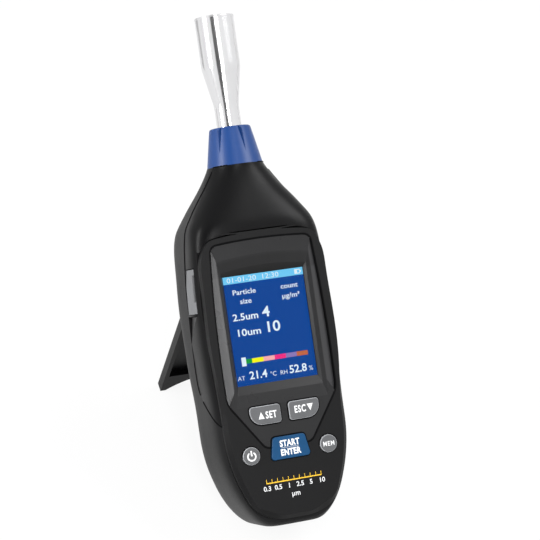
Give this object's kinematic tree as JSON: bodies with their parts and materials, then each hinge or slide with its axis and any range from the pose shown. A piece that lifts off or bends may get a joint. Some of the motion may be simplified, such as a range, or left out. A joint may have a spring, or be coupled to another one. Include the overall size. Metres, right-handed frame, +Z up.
{
  "type": "airborne particle counter",
  "caption": "Hand-held airborne particle counter with turned inlet probe, fluted collar, colour screen, push keys, side port flap and a folding rear stand it rests on.",
  "frame": {"origin": "centre of the bounding box on the ground, below the device standing on its open stand", "axes": "+Z up, +X to the device's right as its front is looked at, front face towards -Y and leaning back"},
  "size_m": [0.0752, 0.2158, 0.2051],
  "materials": {
    "casing_black": "fine moulded grain",
    "grip_black": "soft-touch",
    "bezel_grey": "semi-gloss",
    "window_clear": "clear",
    "screen": "lit display",
    "key_grey": "satin",
    "key_blue": "satin",
    "mat_grey": "matt",
    "board_green": "solder mask",
    "port_steel": "plated",
    "flap_grey": "matt",
    "collar_blue": "satin",
    "probe_metal": "turned and polished",
    "inner_black": "moulded",
    "brass": "turned",
    "filter_white": "moulded",
    "hose_clear": "silicone",
    "cell_wrap": "shrink wrap",
    "stand_black": "fine moulded grain"
  },
  "bodies": {
    "casing": {"air_filter": "filter_white", "air_pump": "inner_black", "battery_cover": "casing_black", "battery_pack": "cell_wrap", "battery_screw": "port_steel", "bezel": "bezel_grey", "buzzer": "inner_black", "card_socket": "port_steel", "case_screws": "port_steel", "climate_sensor": "board_green", "display_lens": "window_clear", "display_module": "screen", "front_cover": "casing_black", "grip_hood": "grip_black", "inlet_collar": "collar_blue", "inlet_probe": "probe_metal", "inlet_socket": "probe_metal", "inlet_tube": "hose_clear", "keypad_mat": "mat_grey", "laser_module": "brass", "light_detector": "board_green", "main_board": "board_green", "probe_seal": "mat_grey", "pump_hose": "hose_clear", "rear_cover": "casing_black", "sample_hose": "hose_clear", "sensor_chamber": "inner_black", "stand_pin": "port_steel", "tripod_bush": "brass", "usb_socket": "port_steel"},
    "set_key": {"set_key": "key_grey"},
    "esc_key": {"esc_key": "key_grey"},
    "start_key": {"start_key": "key_blue"},
    "power_key": {"power_key": "key_grey"},
    "memory_key": {"memory_key": "key_grey"},
    "stand": {"rear_stand": "stand_black"},
    "port_flap": {"port_cover": "flap_grey"}
  },
  "joints": [
    {"name": "set_key_press", "type": "slide", "parent": "casing", "child": "set_key", "axis": [0, 0.6819, -0.7315], "range_m": [0, 0.001], "stiffness_N_per_m": 600, "springref_m": -0.0005},
    {"name": "esc_key_press", "type": "slide", "parent": "casing", "child": "esc_key", "axis": [0, 0.6819, -0.7315], "range_m": [0, 0.001], "stiffness_N_per_m": 600, "springref_m": -0.0005},
    {"name": "start_key_press", "type": "slide", "parent": "casing", "child": "start_key", "axis": [0, 0.6819, -0.7315], "range_m": [0, 0.001], "stiffness_N_per_m": 600, "springref_m": -0.0005},
    {"name": "power_key_press", "type": "slide", "parent": "casing", "child": "power_key", "axis": [0, 0.6819, -0.7315], "range_m": [0, 0.001], "stiffness_N_per_m": 600, "springref_m": -0.0005},
    {"name": "memory_key_press", "type": "slide", "parent": "casing", "child": "memory_key", "axis": [0, 0.6819, -0.7315], "range_m": [0, 0.001], "stiffness_N_per_m": 600, "springref_m": -0.0005},
    {"name": "stand_hinge", "type": "hinge", "parent": "casing", "child": "stand", "pos_m": [-0.00017, 0.00896, 0.08144], "axis": [1, 0, 0], "range_deg": [-56, 0]},
    {"name": "port_flap_hinge", "type": "hinge", "parent": "casing", "child": "port_flap", "pos_m": [-0.03752, -0.01827, 0.09966], "axis": [0, -0.6819, 0.7315], "range_deg": [0, 90]}
  ]
}
